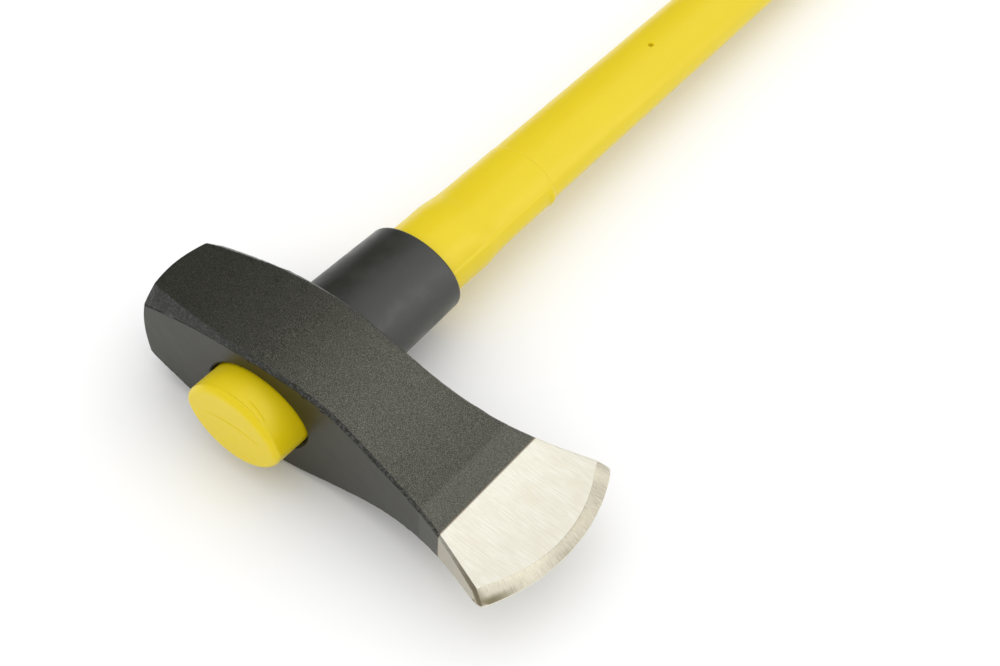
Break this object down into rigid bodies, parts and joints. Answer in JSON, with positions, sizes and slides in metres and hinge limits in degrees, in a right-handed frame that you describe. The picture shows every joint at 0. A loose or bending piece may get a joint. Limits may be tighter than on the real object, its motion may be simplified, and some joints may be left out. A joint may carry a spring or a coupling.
{
  "type": "splitting maul",
  "caption": "Splitting maul: forged wedge head with a flat round poll and ground bit, bonded on a long oval handle with a rubber guard collar and a rubber grip.",
  "frame": {"origin": "centre of the flat round poll face", "axes": "+X along the head from the poll face to the cutting edge, +Y along the handle from the head to the butt, +Z square to the cheeks (up when the maul lies on its side)"},
  "size_m": [0.2144, 0.9028, 0.0574],
  "materials": {
    "coated_steel": "black powder coat, with the last 42 mm of the bit, at its middle, bare and polished",
    "resin": "black, matt",
    "fibreglass": "pultruded rod, hidden in the handle",
    "yellow_plastic": "semi-gloss moulded",
    "black_rubber": "satin"
  },
  "bodies": {
    "root": {"maul_head": "coated_steel", "eye_resin": "resin", "fibreglass_core": "fibreglass", "handle_jacket": "yellow_plastic", "strike_collar": "black_rubber", "hand_grip": "black_rubber"}
  },
  "joints": []
}
